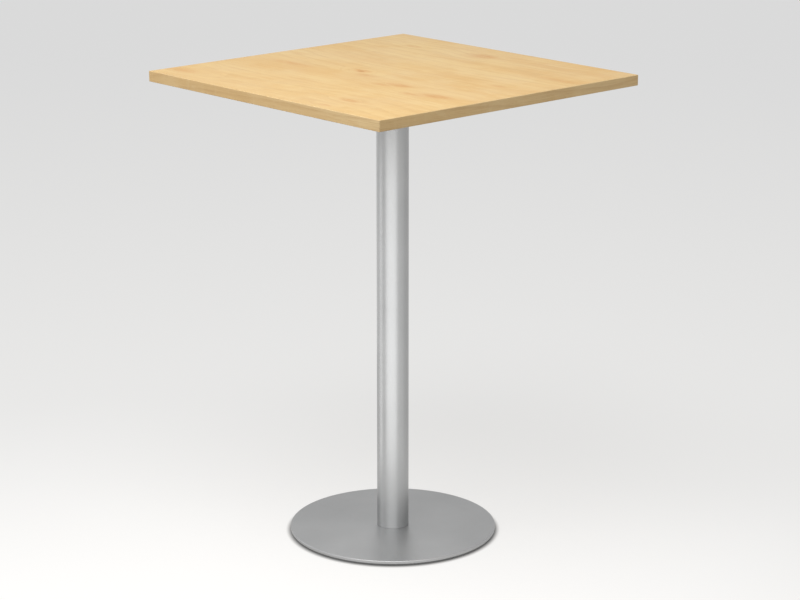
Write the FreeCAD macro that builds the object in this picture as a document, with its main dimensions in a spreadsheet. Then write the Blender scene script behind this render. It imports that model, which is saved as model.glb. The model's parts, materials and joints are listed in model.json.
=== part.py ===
import FreeCAD, Part
import os
import Sketcher

# Bar table: a square laminated board on a round steel column, with a round steel base plate on levellers.
# Millimetres, +Z up. The origin is on the floor, on the column's axis, and the top's edges run along X and Y.

SIZES = {
    # whole table
    "table_height": 1120,
    # tabletop board
    "top_length": 800,
    "top_depth": 800,
    "top_thickness": 25,
    "decor_thickness": 0.3,
    "edge_band_thickness": 2,
    "edge_band_radius": 1.5,
    # column
    "column_diameter": 76,
    "column_wall": 2,
    "column_end_chamfer": 0.5,
    "top_flange_thickness": 8,
    "foot_flange_thickness": 10,
    "flange_clearance": 0.05,
    "weld_leg": 3,
    "weld_gap": 0.05,
    "flange_screw_inset": 10,
    # mounting plate under the board
    "mounting_plate_length": 340,
    "mounting_plate_depth": 340,
    "mounting_plate_thickness": 5,
    "mounting_plate_corner_radius": 25,
    "mounting_plate_chamfer": 1,
    # base plate
    "base_diameter": 496,
    "base_thickness": 8,
    "base_edge_radius": 1.5,
    # countersunk screws from the mounting plate into the top flange
    "mount_screw_diameter": 8,
    "mount_screw_length": 12,
    "mount_screw_head_diameter": 16,
    "mount_screw_head_rim": 0.4,
    "mount_screw_key": 5,
    "mount_screw_key_depth": 2.8,
    # countersunk screws from the base plate into the foot flange
    "base_screw_diameter": 10,
    "base_screw_length": 16,
    "base_screw_head_diameter": 20,
    "base_screw_head_rim": 0.5,
    "base_screw_key": 6,
    "base_screw_key_depth": 3.5,
    # button head screws, washers and inserts that hold the board
    "board_screw_inset": 25,
    "board_screw_diameter": 6,
    "board_screw_length": 16,
    "board_screw_head_diameter": 10.5,
    "board_screw_head_height": 3.3,
    "board_screw_head_round": 2.4,
    "board_screw_key": 4,
    "board_screw_key_depth": 2,
    "board_washer_diameter": 12,
    "board_washer_clearance": 0.2,
    "board_washer_thickness": 1.6,
    "board_insert_wall": 2,
    "board_insert_cover": 12,
    "board_insert_hole_spare": 1,
    # shared by all screws
    "screw_tip_chamfer": 0.8,
    "screw_hole_clearance": 0.5,
    "thread_clearance": 0.08,
    "seat_clearance": 0.1,
    # levellers
    "leveller_inset": 33,
    "leveller_height": 4,
    "stud_diameter": 8,
    "stud_hole_floor": 1.5,
    "stud_hole_spare": 0.7,
    "stud_tip_chamfer": 0.6,
    "stud_flange_diameter": 16,
    "stud_key": 4,
    "stud_key_depth": 3,
    "pad_diameter": 36,
    "pad_chamfer": 0.8,
    "pad_lift": 0.4,
    "pad_rim": 3,
    "pad_web": 1.2,
    "sole_bore": 7,
    "sole_thickness": 1.1,
    "running_clearance": 0.08,
}

LEVELLER_COUNT = 4
SCREWS_PER_CIRCLE = 4
ROUNDING_LIMIT_SHARE = 0.9
MATCH_TOLERANCE = 1e-6
FULL_TURN = 360
UPSIDE_DOWN = FreeCAD.Rotation(FreeCAD.Vector(1, 0, 0), 180)

# A sketch's own axes count down from zero, and the points of its lines and circles count up
HORIZONTAL_AXIS, VERTICAL_AXIS = range(-1, -3, -1)
START_POINT, END_POINT, CENTRE_POINT = range(1, 4)

# Levels above the floor
BASE_TOP = "(Sizes.leveller_height + Sizes.base_thickness)"
BOARD_UNDERSIDE = "(Sizes.table_height - Sizes.top_thickness)"
PLATE_UNDERSIDE = f"({BOARD_UNDERSIDE} - Sizes.mounting_plate_thickness)"
COLUMN_LENGTH = f"({PLATE_UNDERSIDE} - {BASE_TOP})"

# Sizes that several pieces share
INNER_LENGTH = "(Sizes.top_length - 2 * Sizes.edge_band_thickness)"
INNER_DEPTH = "(Sizes.top_depth - 2 * Sizes.edge_band_thickness)"
CORE_THICKNESS = "(Sizes.top_thickness - 2 * Sizes.decor_thickness)"
COLUMN_BORE_RADIUS = "(Sizes.column_diameter / 2 - Sizes.column_wall)"
FLANGE_RADIUS = f"({COLUMN_BORE_RADIUS} - Sizes.flange_clearance)"
FLANGE_SCREW_RADIUS = f"({FLANGE_RADIUS} - Sizes.weld_leg - Sizes.flange_screw_inset)"
INSERT_BORE = "(Sizes.board_screw_diameter + 2 * Sizes.thread_clearance)"
INSERT_DIAMETER = f"({INSERT_BORE} + 2 * Sizes.board_insert_wall)"
INSERT_LENGTH = "(Sizes.top_thickness - Sizes.board_insert_cover)"
INSERT_HOLE_DIAMETER = f"({INSERT_DIAMETER} + 2 * Sizes.seat_clearance)"
BOARD_SCREW_REACH = (
    "(Sizes.board_screw_length - Sizes.board_washer_thickness - Sizes.mounting_plate_thickness)"
)
INSERT_HOLE_DEPTH = f"(max({INSERT_LENGTH}; {BOARD_SCREW_REACH}) + Sizes.board_insert_hole_spare)"
STUD_HOLE_DEPTH = "(Sizes.base_thickness - Sizes.stud_hole_floor)"
STUD_END = f"(Sizes.leveller_height + {STUD_HOLE_DEPTH} - Sizes.stud_hole_spare)"
STUD_FLANGE_BOTTOM = "(Sizes.sole_thickness + Sizes.running_clearance)"
PAD_RECESS_TOP = "(Sizes.leveller_height - Sizes.pad_web)"
STUD_FLANGE_TOP = f"({PAD_RECESS_TOP} - Sizes.running_clearance)"
SOLE_DIAMETER = "(Sizes.pad_diameter - 2 * Sizes.pad_rim)"

nodes = []
doc = FreeCAD.newDocument("bar_table")
sheet = doc.addObject("Spreadsheet::Sheet", "Sizes")


def fill_sheet():
    """Writes each driving size into a cell of its own, with its name as alias."""
    for row, (name, size) in enumerate(SIZES.items(), 1):
        sheet.set(f"A{row}", name)
        sheet.set(f"B{row}", str(size))
        sheet.setAlias(f"B{row}", name)
    doc.recompute()


def measure(expression):
    """The present value of an expression of the sheet."""
    return float(sheet.evalExpression(expression))


# Drawing helpers


def place(thing, x="0", y="0", z="0", turn=FreeCAD.Rotation()):
    """Turns a piece and binds its place to expressions of the sheet."""
    thing.Placement = FreeCAD.Placement(FreeCAD.Vector(), turn)
    for axis, expression in zip("xyz", (x, y, z)):
        thing.setExpression(f"Placement.Base.{axis}", expression)


def new_body(label, **where):
    """An empty body, placed as a piece of the table."""
    body = doc.addObject("PartDesign::Body", label)
    body.Label = label
    place(body, **where)
    return body


def origin_feature(body, role):
    """One of the body's own origin planes or axes."""
    return next(feature for feature in body.Origin.OriginFeatures if feature.Role == role)


def new_sketch(body, name, role="XY_Plane", shift="0"):
    """A sketch on one of the body's origin planes, shifted along the sketch's own X."""
    sketch = body.newObject("Sketcher::SketchObject", name)
    sketch.AttachmentSupport = [(origin_feature(body, role), "")]
    sketch.MapMode = "FlatFace"
    sketch.setExpression("AttachmentOffset.Base.x", shift)
    return sketch


def bind(sketch, constraint, expression):
    """Adds a constraint whose value follows an expression of the sheet."""
    index = sketch.addConstraint(constraint)
    sketch.setExpression(f"Constraints[{index}]", expression)


def pin_point(sketch, geometry, end, x, y):
    """Holds a point of the sketch at a place given by two expressions."""
    for kind, axis, expression in (("DistanceX", VERTICAL_AXIS, x), ("DistanceY", HORIZONTAL_AXIS, y)):
        if expression == "0":
            sketch.addConstraint(Sketcher.Constraint("PointOnObject", geometry, end, axis))
        else:
            bind(sketch, Sketcher.Constraint(kind, geometry, end, measure(expression)), expression)


def draw_outline(sketch, points):
    """Draws a closed loop of straight lines through points given as pairs of expressions."""
    corners = [FreeCAD.Vector(measure(x), measure(y), 0) for x, y in points]
    for start, end in zip(corners, corners[1:] + corners[:1]):
        sketch.addGeometry(Part.LineSegment(start, end), False)
    for line, (x, y) in enumerate(points):
        previous = (line - 1) % len(points)
        sketch.addConstraint(Sketcher.Constraint("Coincident", previous, END_POINT, line, START_POINT))
        pin_point(sketch, line, START_POINT, x, y)


def draw_rectangle(sketch, length, depth):
    """Draws a rectangle centred on the sketch's origin."""
    right = f"({length}) / 2"
    back = f"({depth}) / 2"
    left = f"-({length}) / 2"
    front = f"-({depth}) / 2"
    draw_outline(sketch, [(left, front), (right, front), (right, back), (left, back)])


def draw_hexagon(sketch, key):
    """Draws the outline of a hexagon socket of a given width across its flats."""
    corner = f"({key}) / sqrt(3)"
    half_corner = f"({key}) / sqrt(3) / 2"
    flat = f"({key}) / 2"
    draw_outline(
        sketch,
        [
            (corner, "0"),
            (half_corner, flat),
            (f"-{half_corner}", flat),
            (f"-{corner}", "0"),
            (f"-{half_corner}", f"-{flat}"),
            (half_corner, f"-{flat}"),
        ],
    )


def draw_circles(sketch, diameter, places):
    """Draws equal circles at places given as pairs of expressions."""
    for x, y in places:
        centre = FreeCAD.Vector(measure(x), measure(y), 0)
        circle = Part.Circle(centre, FreeCAD.Vector(0, 0, 1), measure(diameter) / 2)
        geometry = sketch.addGeometry(circle, False)
        pin_point(sketch, geometry, CENTRE_POINT, x, y)
        bind(sketch, Sketcher.Constraint("Diameter", geometry, measure(diameter)), diameter)


# Features


def pad(body, sketch, length):
    """Raises a solid from a sketch, along +Z."""
    feature = body.newObject("PartDesign::Pad", f"{sketch.Name}_pad")
    feature.Profile = sketch
    feature.setExpression("Length", length)
    doc.recompute()


def revolve(body, name, points):
    """Turns an outline, given as (radius, height) expressions, once round the body's Z axis."""
    sketch = new_sketch(body, name, "XZ_Plane")
    draw_outline(sketch, points)
    feature = body.newObject("PartDesign::Revolution", f"{name}_turn")
    feature.Profile = sketch
    feature.ReferenceAxis = (sketch, ["V_Axis"])
    doc.recompute()


def check_cut(body, feature, volume_before):
    """Stops if a cut has taken nothing away."""
    doc.recompute()
    if feature.Shape.Volume >= volume_before:
        raise RuntimeError(f"{body.Label}: {feature.Name} cuts nothing")


def drill(body, sketch, depth=None):
    """Cuts the sketch's outlines upwards from the body's underside, to a depth or right through."""
    volume_before = body.Shape.Volume
    feature = body.newObject("PartDesign::Pocket", f"{sketch.Name}_cut")
    feature.Profile = sketch
    feature.Reversed = True
    if depth is None:
        feature.Type = "ThroughAll"
    else:
        feature.setExpression("Length", depth)
    check_cut(body, feature, volume_before)


def turn_holes(body, name, points, radius, count):
    """Cuts a turned hole at a radius from the body's axis, and repeats it round the axis."""
    volume_before = body.Shape.Volume
    sketch = new_sketch(body, name, "XZ_Plane", shift=radius)
    draw_outline(sketch, points)
    groove = body.newObject("PartDesign::Groove", f"{name}_cut")
    groove.Profile = sketch
    groove.ReferenceAxis = (sketch, ["V_Axis"])
    check_cut(body, groove, volume_before)
    pattern = body.newObject("PartDesign::PolarPattern", f"{name}_pattern")
    pattern.Originals = [groove]
    pattern.Axis = (origin_feature(body, "Z_Axis"), [""])
    pattern.Angle = FULL_TURN
    pattern.Occurrences = count
    body.Tip = pattern
    check_cut(body, pattern, groove.Shape.Volume)


def soften(body, kind, size_name, size, wanted):
    """Rounds or chamfers the edges of the body's last feature that a test picks out."""
    base = body.Tip
    names = [f"Edge{i}" for i, edge in enumerate(base.Shape.Edges, 1) if wanted(edge)]
    feature = body.newObject(f"PartDesign::{kind}", f"{body.Name}_{kind.lower()}")
    feature.Base = (base, names)
    feature.setExpression(size_name, size)
    doc.recompute()


def round_edges(body, radius, wanted):
    """Rounds the picked edges."""
    soften(body, "Fillet", "Radius", radius, wanted)


def chamfer_edges(body, size, wanted):
    """Chamfers the picked edges."""
    soften(body, "Chamfer", "Size", size, wanted)


def same(first, second):
    """Whether two measures are equal."""
    return abs(first - second) < MATCH_TOLERANCE


def limited(size, wall):
    """A rounding's size, held below the thickness of the wall that it is cut from."""
    return f"min({size}; {ROUNDING_LIMIT_SHARE} * {wall})"


def is_upright(edge):
    """Whether an edge runs straight along Z."""
    box = edge.BoundBox
    return same(box.XLength, 0) and same(box.YLength, 0)


def is_level_at(height):
    """A test for edges that lie level at a height."""
    return lambda edge: same(edge.BoundBox.ZMin, height) and same(edge.BoundBox.ZMax, height)


def is_circle_of(radius):
    """A test for round edges of a radius."""
    return lambda edge: isinstance(edge.Curve, Part.Circle) and same(edge.Curve.Radius, radius)


def spin(angle):
    """A turn about +Z, in degrees."""
    return FreeCAD.Rotation(FreeCAD.Vector(0, 0, 1), angle)


def flange_screw_places():
    """Four places on the flanges' pitch circle, on the X and Y axes."""
    ahead = FLANGE_SCREW_RADIUS
    behind = f"-{FLANGE_SCREW_RADIUS}"
    return [(ahead, "0"), ("0", ahead), (behind, "0"), ("0", behind)]


def board_screw_places():
    """Eight places round the mounting plate: a square grid without its centre."""
    along = "(Sizes.mounting_plate_length / 2 - Sizes.board_screw_inset)"
    across = "(Sizes.mounting_plate_depth / 2 - Sizes.board_screw_inset)"
    columns = (f"-{along}", "0", along)
    rows = (f"-{across}", "0", across)
    return [(x, y) for x in columns for y in rows if (x, y) != ("0", "0")]


def leveller_place(number):
    """The place of a leveller, counted anticlockwise from the front right."""
    ahead = "(Sizes.base_diameter / 2 - Sizes.leveller_inset) / sqrt(2)"
    behind = f"-{ahead}"
    corners = [(ahead, behind), (ahead, ahead), (behind, ahead), (behind, behind)]
    return corners[number - 1]


def group(label, pattern_piece, places, z, turn=FreeCAD.Rotation()):
    """One node of equal pieces: separate solids, one at each place, all at one height."""
    links = []
    for number, (x, y) in enumerate(places, 1):
        link = doc.addObject("App::Link", f"{label}_{number}")
        link.LinkedObject = pattern_piece
        place(link, x, y, z, turn)
        links.append(link)
    compound = doc.addObject("Part::Compound", label)
    compound.Label = label
    compound.Links = links
    nodes.append(compound)


# Tabletop board


def make_board_sheet(label, thickness, level):
    """A flat layer of the board, inside the edge bands."""
    body = new_body(label, z=level)
    sketch = new_sketch(body, f"{label}_outline")
    draw_rectangle(sketch, INNER_LENGTH, INNER_DEPTH)
    pad(body, sketch, thickness)
    nodes.append(body)
    return body


def make_board():
    """Chipboard core with a decor sheet on each face, drilled from below for the inserts."""
    core = make_board_sheet("tabletop_core", CORE_THICKNESS, f"{BOARD_UNDERSIDE} + Sizes.decor_thickness")
    holes = new_sketch(core, "insert_holes")
    draw_circles(holes, INSERT_HOLE_DIAMETER, board_screw_places())
    drill(core, holes, f"{INSERT_HOLE_DEPTH} - Sizes.decor_thickness")

    underside = make_board_sheet("underside_decor", "Sizes.decor_thickness", BOARD_UNDERSIDE)
    holes = new_sketch(underside, "decor_holes")
    draw_circles(holes, INSERT_HOLE_DIAMETER, board_screw_places())
    drill(underside, holes)

    make_board_sheet("top_decor", "Sizes.decor_thickness", "Sizes.table_height - Sizes.decor_thickness")


def make_edge_band(label, length, distance, angle, has_open_ends):
    """A band glued to one side of the board. Open ends show at the corners and are rounded too."""
    body = new_body(label, z=BOARD_UNDERSIDE, turn=spin(angle))
    sketch = new_sketch(body, f"{label}_outline")
    left = f"-({length}) / 2"
    right = f"({length}) / 2"
    outside = f"-({distance})"
    inside = f"-({distance}) + Sizes.edge_band_thickness"
    draw_outline(sketch, [(left, outside), (right, outside), (right, inside), (left, inside)])
    pad(body, sketch, "Sizes.top_thickness")
    outer_face = measure(outside)
    glued_face = measure(inside)

    def shows(edge):
        """Whether an edge is on the outside of the finished board."""
        if has_open_ends:
            return not same(edge.BoundBox.YMin, glued_face)
        return same(edge.BoundBox.YMax, outer_face) and not is_upright(edge)

    round_edges(body, limited("Sizes.edge_band_radius", "Sizes.edge_band_thickness"), shows)
    nodes.append(body)


def make_edge_bands():
    """Front and rear bands run the full length, and the side bands fit between them."""
    half_depth = "Sizes.top_depth / 2"
    half_length = "Sizes.top_length / 2"
    make_edge_band("edge_band_front", "Sizes.top_length", half_depth, 0, True)
    make_edge_band("edge_band_right", INNER_DEPTH, half_length, 90, False)
    make_edge_band("edge_band_rear", "Sizes.top_length", half_depth, 180, True)
    make_edge_band("edge_band_left", INNER_DEPTH, half_length, 270, False)


# Column


def make_column_tube():
    """Round steel tube, standing on the base plate and carrying the mounting plate."""
    body = new_body("column_tube", z=BASE_TOP)
    sketch = new_sketch(body, "tube_section")
    draw_circles(sketch, "Sizes.column_diameter", [("0", "0")])
    draw_circles(sketch, f"2 * {COLUMN_BORE_RADIUS}", [("0", "0")])
    pad(body, sketch, COLUMN_LENGTH)
    chamfer = limited("Sizes.column_end_chamfer", "Sizes.column_wall")
    chamfer_edges(body, chamfer, is_circle_of(measure("Sizes.column_diameter / 2")))
    nodes.append(body)


def make_flange(label, thickness, screw_diameter, level, turn):
    """Disc welded into one end of the tube, with tapped holes. It is drawn with the tube's end below."""
    body = new_body(label, z=level, turn=turn)
    revolve(
        body,
        f"{label}_section",
        [
            ("0", "0"),
            (f"{FLANGE_RADIUS} - Sizes.weld_leg", "0"),
            (FLANGE_RADIUS, "Sizes.weld_leg"),
            (FLANGE_RADIUS, thickness),
            ("0", thickness),
        ],
    )
    holes = new_sketch(body, f"{label}_tapped_holes")
    draw_circles(holes, f"{screw_diameter} + 2 * Sizes.thread_clearance", flange_screw_places())
    drill(body, holes)
    nodes.append(body)


def make_weld_seam(label, level, turn):
    """Weld bead in the groove between flange and tube, ground flush with the tube's end."""
    body = new_body(label, z=level, turn=turn)
    inner = f"({FLANGE_RADIUS} - Sizes.weld_leg + 2 * Sizes.weld_gap)"
    outer = f"({COLUMN_BORE_RADIUS} - Sizes.weld_gap)"
    revolve(body, f"{label}_section", [(inner, "0"), (outer, "0"), (outer, f"{outer} - {inner}")])
    nodes.append(body)


def make_column():
    """Tube with a flange welded into each end."""
    make_column_tube()
    upright = FreeCAD.Rotation()
    make_flange(
        "column_foot_flange",
        "Sizes.foot_flange_thickness",
        "Sizes.base_screw_diameter",
        BASE_TOP,
        upright,
    )
    make_weld_seam("foot_weld_seam", BASE_TOP, upright)
    make_flange(
        "column_top_flange",
        "Sizes.top_flange_thickness",
        "Sizes.mount_screw_diameter",
        PLATE_UNDERSIDE,
        UPSIDE_DOWN,
    )
    make_weld_seam("top_weld_seam", PLATE_UNDERSIDE, UPSIDE_DOWN)


# Plates


def countersink_points(screw, plate_thickness):
    """Outline of a countersunk hole for one kind of screw, with its wide end at the bottom."""
    clearance = "Sizes.seat_clearance"
    head = f"(Sizes.{screw}_head_diameter / 2 + {clearance})"
    hole = f"(Sizes.{screw}_diameter / 2 + Sizes.screw_hole_clearance)"
    cone_height = f"(Sizes.{screw}_head_diameter - Sizes.{screw}_diameter) / 2"
    rim = f"(Sizes.{screw}_head_rim + {clearance})"
    neck = f"({rim} + {cone_height} - (Sizes.screw_hole_clearance - {clearance}))"
    past_plate = f"({neck} + {plate_thickness})"
    return [("0", "0"), (head, "0"), (head, rim), (hole, neck), (hole, past_plate), ("0", past_plate)]


def make_mounting_plate():
    """Steel plate between column and board. It is drawn upside down, with its screw heads below."""
    body = new_body("mounting_plate", z=BOARD_UNDERSIDE, turn=UPSIDE_DOWN)
    sketch = new_sketch(body, "mounting_plate_outline")
    draw_rectangle(sketch, "Sizes.mounting_plate_length", "Sizes.mounting_plate_depth")
    thickness = "Sizes.mounting_plate_thickness"
    pad(body, sketch, thickness)
    round_edges(body, "Sizes.mounting_plate_corner_radius", is_upright)
    chamfer_edges(body, "Sizes.mounting_plate_chamfer", is_level_at(measure(thickness)))
    turn_holes(
        body,
        "mount_screw_seat",
        countersink_points("mount_screw", thickness),
        FLANGE_SCREW_RADIUS,
        SCREWS_PER_CIRCLE,
    )
    holes = new_sketch(body, "board_screw_holes")
    hole_diameter = "Sizes.board_screw_diameter + 2 * Sizes.screw_hole_clearance"
    draw_circles(holes, hole_diameter, board_screw_places())
    drill(body, holes)
    nodes.append(body)


def make_base_plate():
    """Heavy round steel plate with rounded edges, screwed to the column and tapped for the levellers."""
    body = new_body("base_plate", z="Sizes.leveller_height")
    sketch = new_sketch(body, "base_outline")
    draw_circles(sketch, "Sizes.base_diameter", [("0", "0")])
    thickness = "Sizes.base_thickness"
    pad(body, sketch, thickness)
    round_edges(body, "Sizes.base_edge_radius", is_circle_of(measure("Sizes.base_diameter / 2")))
    turn_holes(
        body,
        "base_screw_seat",
        countersink_points("base_screw", thickness),
        FLANGE_SCREW_RADIUS,
        SCREWS_PER_CIRCLE,
    )
    holes = new_sketch(body, "stud_holes")
    places = [leveller_place(number) for number in range(1, LEVELLER_COUNT + 1)]
    draw_circles(holes, "Sizes.stud_diameter + 2 * Sizes.thread_clearance", places)
    drill(body, holes, STUD_HOLE_DEPTH)
    nodes.append(body)


# Fasteners, each drawn once with its head at the bottom


def make_countersunk_screw(screw):
    """Countersunk screw with a hexagon socket. Its head's flat face is at height zero."""
    body = new_body(f"{screw}_pattern_piece")
    head = f"Sizes.{screw}_head_diameter / 2"
    shank = f"Sizes.{screw}_diameter / 2"
    rim = f"Sizes.{screw}_head_rim"
    neck = f"{rim} + {head} - {shank}"
    tip = "Sizes.screw_tip_chamfer"
    length = f"Sizes.{screw}_length"
    revolve(
        body,
        f"{screw}_section",
        [
            ("0", "0"),
            (head, "0"),
            (head, rim),
            (shank, neck),
            (shank, f"{length} - {tip}"),
            (f"{shank} - {tip}", length),
            ("0", length),
        ],
    )
    socket = new_sketch(body, f"{screw}_socket")
    draw_hexagon(socket, f"Sizes.{screw}_key")
    drill(body, socket, f"Sizes.{screw}_key_depth")
    return body


def make_board_screw():
    """Button head screw with a hexagon socket. The top of its head is at height zero."""
    body = new_body("board_screw_pattern_piece")
    head = "Sizes.board_screw_head_diameter / 2"
    shank = "Sizes.board_screw_diameter / 2"
    under_head = "Sizes.board_screw_head_height"
    tip = "Sizes.screw_tip_chamfer"
    end = f"{under_head} + Sizes.board_screw_length"
    revolve(
        body,
        "board_screw_section",
        [
            ("0", "0"),
            (head, "0"),
            (head, under_head),
            (shank, under_head),
            (shank, f"{end} - {tip}"),
            (f"{shank} - {tip}", end),
            ("0", end),
        ],
    )
    round_edges(body, limited("Sizes.board_screw_head_round", under_head), is_level_at(0))
    socket = new_sketch(body, "board_screw_socket")
    draw_hexagon(socket, "Sizes.board_screw_key")
    drill(body, socket, "Sizes.board_screw_key_depth")
    return body


def make_ring(label, diameter, bore, height):
    """A plain ring, drawn once to be repeated."""
    body = new_body(label)
    sketch = new_sketch(body, f"{label}_section")
    draw_circles(sketch, diameter, [("0", "0")])
    draw_circles(sketch, bore, [("0", "0")])
    pad(body, sketch, height)
    return body


def make_fasteners():
    """The groups of screws, washers and inserts."""
    places = flange_screw_places()
    mount_screw = make_countersunk_screw("mount_screw")
    group("mount_screws", mount_screw, places, f"{BOARD_UNDERSIDE} - Sizes.seat_clearance", UPSIDE_DOWN)

    base_screw = make_countersunk_screw("base_screw")
    group("base_screws", base_screw, places, "Sizes.leveller_height + Sizes.seat_clearance")

    washer_bottom = f"{PLATE_UNDERSIDE} - Sizes.board_washer_thickness"
    washer = make_ring(
        "board_washer_pattern_piece",
        "Sizes.board_washer_diameter",
        "Sizes.board_screw_diameter + 2 * Sizes.board_washer_clearance",
        "Sizes.board_washer_thickness",
    )
    group("tabletop_washers", washer, board_screw_places(), washer_bottom)

    screw_bottom = f"{washer_bottom} - Sizes.board_screw_head_height"
    group("tabletop_screws", make_board_screw(), board_screw_places(), screw_bottom)

    insert = make_ring("board_insert_pattern_piece", INSERT_DIAMETER, INSERT_BORE, INSERT_LENGTH)
    group("tabletop_inserts", insert, board_screw_places(), BOARD_UNDERSIDE)


# Levellers, drawn fully screwed in, with the floor at height zero


def make_stud(number):
    """Threaded stud that turns in the base plate, with a flange that carries the pad."""
    x, y = leveller_place(number)
    body = new_body(f"leveller_stud_{number}", x=x, y=y)
    flange = "Sizes.stud_flange_diameter / 2"
    shank = "Sizes.stud_diameter / 2"
    tip = "Sizes.stud_tip_chamfer"
    revolve(
        body,
        f"stud_{number}_section",
        [
            ("0", STUD_FLANGE_BOTTOM),
            (flange, STUD_FLANGE_BOTTOM),
            (flange, STUD_FLANGE_TOP),
            (shank, STUD_FLANGE_TOP),
            (shank, f"{STUD_END} - {tip}"),
            (f"{shank} - {tip}", STUD_END),
            ("0", STUD_END),
        ],
    )
    socket = new_sketch(body, f"stud_{number}_socket")
    draw_hexagon(socket, "Sizes.stud_key")
    drill(body, socket, f"{STUD_FLANGE_BOTTOM} + Sizes.stud_key_depth")
    nodes.append(body)


def make_pad(number):
    """Round pad that swivels on the stud's flange, recessed below for the flange and the sole."""
    x, y = leveller_place(number)
    body = new_body(f"leveller_pad_{number}", x=x, y=y)
    outside = "Sizes.pad_diameter / 2"
    chamfer = "Sizes.pad_chamfer"
    clearance = "Sizes.running_clearance"
    top = "Sizes.leveller_height"
    bore = f"Sizes.stud_diameter / 2 + {clearance}"
    sole_recess = f"{SOLE_DIAMETER} / 2 + {clearance}"
    flange_recess = f"Sizes.stud_flange_diameter / 2 + {clearance}"
    revolve(
        body,
        f"pad_{number}_section",
        [
            (bore, top),
            (bore, PAD_RECESS_TOP),
            (flange_recess, PAD_RECESS_TOP),
            (flange_recess, "Sizes.sole_thickness"),
            (sole_recess, "Sizes.sole_thickness"),
            (sole_recess, "Sizes.pad_lift"),
            (outside, "Sizes.pad_lift"),
            (outside, f"{top} - {chamfer}"),
            (f"{outside} - {chamfer}", top),
        ],
    )
    nodes.append(body)


def make_sole(number):
    """Soft ring in the pad's underside, which stands on the floor. The key reaches the stud through it."""
    x, y = leveller_place(number)
    body = new_body(f"leveller_sole_{number}", x=x, y=y)
    sketch = new_sketch(body, f"sole_{number}_section")
    draw_circles(sketch, SOLE_DIAMETER, [("0", "0")])
    draw_circles(sketch, "Sizes.sole_bore", [("0", "0")])
    pad(body, sketch, "Sizes.sole_thickness")
    nodes.append(body)


def make_levellers():
    """Four equal levellers."""
    for number in range(1, LEVELLER_COUNT + 1):
        make_stud(number)
        make_pad(number)
        make_sole(number)


# Checking and writing


def check_document():
    """Stops if any object failed or any piece has no sound shape."""
    doc.recompute()
    for thing in doc.Objects:
        if "Invalid" in thing.State or "Error" in thing.State:
            raise RuntimeError(f"{thing.Label} failed: {thing.State}")
    for node in nodes:
        if node.Shape.isNull() or not node.Shape.isValid() or not node.Shape.Solids:
            raise RuntimeError(f"{node.Label} has no sound shape")


def write_parts():
    """Writes one file for each piece or group of pieces."""
    os.makedirs("parts", exist_ok=True)
    for node in nodes:
        node.Shape.exportStep(f"parts/{node.Label}.step")
        print(f"{node.Label}: {len(node.Shape.Solids)} solid, {node.Shape.Volume:.1f} mm3")


fill_sheet()
make_board()
make_edge_bands()
make_column()
make_mounting_plate()
make_base_plate()
make_fasteners()
make_levellers()
check_document()
write_parts()
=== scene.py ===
import json
import math

import bmesh
import bpy
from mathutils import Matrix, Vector


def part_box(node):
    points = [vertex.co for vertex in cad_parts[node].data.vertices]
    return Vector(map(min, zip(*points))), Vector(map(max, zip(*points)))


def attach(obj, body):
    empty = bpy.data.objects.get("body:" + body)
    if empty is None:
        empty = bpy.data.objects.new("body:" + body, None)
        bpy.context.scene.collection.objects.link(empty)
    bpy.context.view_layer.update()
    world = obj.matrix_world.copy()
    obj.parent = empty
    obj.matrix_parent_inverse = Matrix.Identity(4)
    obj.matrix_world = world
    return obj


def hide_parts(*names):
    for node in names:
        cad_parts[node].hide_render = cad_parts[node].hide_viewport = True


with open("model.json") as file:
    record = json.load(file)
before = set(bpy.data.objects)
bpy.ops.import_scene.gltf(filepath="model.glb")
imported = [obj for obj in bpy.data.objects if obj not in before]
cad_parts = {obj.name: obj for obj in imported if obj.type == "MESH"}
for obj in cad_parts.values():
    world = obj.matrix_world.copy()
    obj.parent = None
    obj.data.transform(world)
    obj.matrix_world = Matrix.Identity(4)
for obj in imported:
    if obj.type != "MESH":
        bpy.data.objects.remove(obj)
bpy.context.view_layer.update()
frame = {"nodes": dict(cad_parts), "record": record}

# Bar table: a square maple-decor board on a silver column and a round silver base plate.
# Metres, in the frame of the CAD model: +Z up, the origin on the floor, the grain along X.

# Camera, at the photograph's viewing angle
CAMERA_AZIMUTH = math.radians(47.594)
CAMERA_ELEVATION = math.radians(15.558)
CAMERA_DISTANCE = 5.6267
CAMERA_LENS_MM = 106.87
TARGET_ASIDE = 0.0173
TARGET_HEIGHT = 0.5756

# Levels and sizes of the CAD model
BOARD_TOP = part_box("top_decor")[1].z
BOARD_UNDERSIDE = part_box("underside_decor")[0].z
DECOR_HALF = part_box("top_decor")[1].x
BASE_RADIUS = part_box("base_plate")[1].x
BASE_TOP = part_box("base_plate")[1].z
BASE_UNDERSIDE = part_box("base_plate")[0].z
COLUMN_FOOT, COLUMN_HEAD = (corner.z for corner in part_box("column_tube"))
COLUMN_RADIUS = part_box("column_tube")[1].x

# Colours. The curve from screen levels to linear light is the sRGB standard's.
SCREEN_WHITE = 255
SRGB_KNEE = 0.04045
SRGB_SLOPE = 12.92
SRGB_OFFSET = 0.055
SRGB_POWER = 2.4


def linear(level):
    """The share of light that a screen level from 0 to 255 stands for."""
    share = level / SCREEN_WHITE
    if share <= SRGB_KNEE:
        return share / SRGB_SLOPE
    return ((share + SRGB_OFFSET) / (1 + SRGB_OFFSET)) ** SRGB_POWER


def rgb(red, green, blue):
    """A colour picked on screen, 0 to 255, as the linear colour that shaders take."""
    return (linear(red), linear(green), linear(blue), 1.0)


def grey(share):
    """A grey with a share of white's light."""
    return (share, share, share, 1.0)


# Shader building

# Most of a noise's values lie between these two, round its middle
NOISE_LOW = 0.3
NOISE_HIGH = 0.7
NOISE_MIDDLE = 0.5
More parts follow.
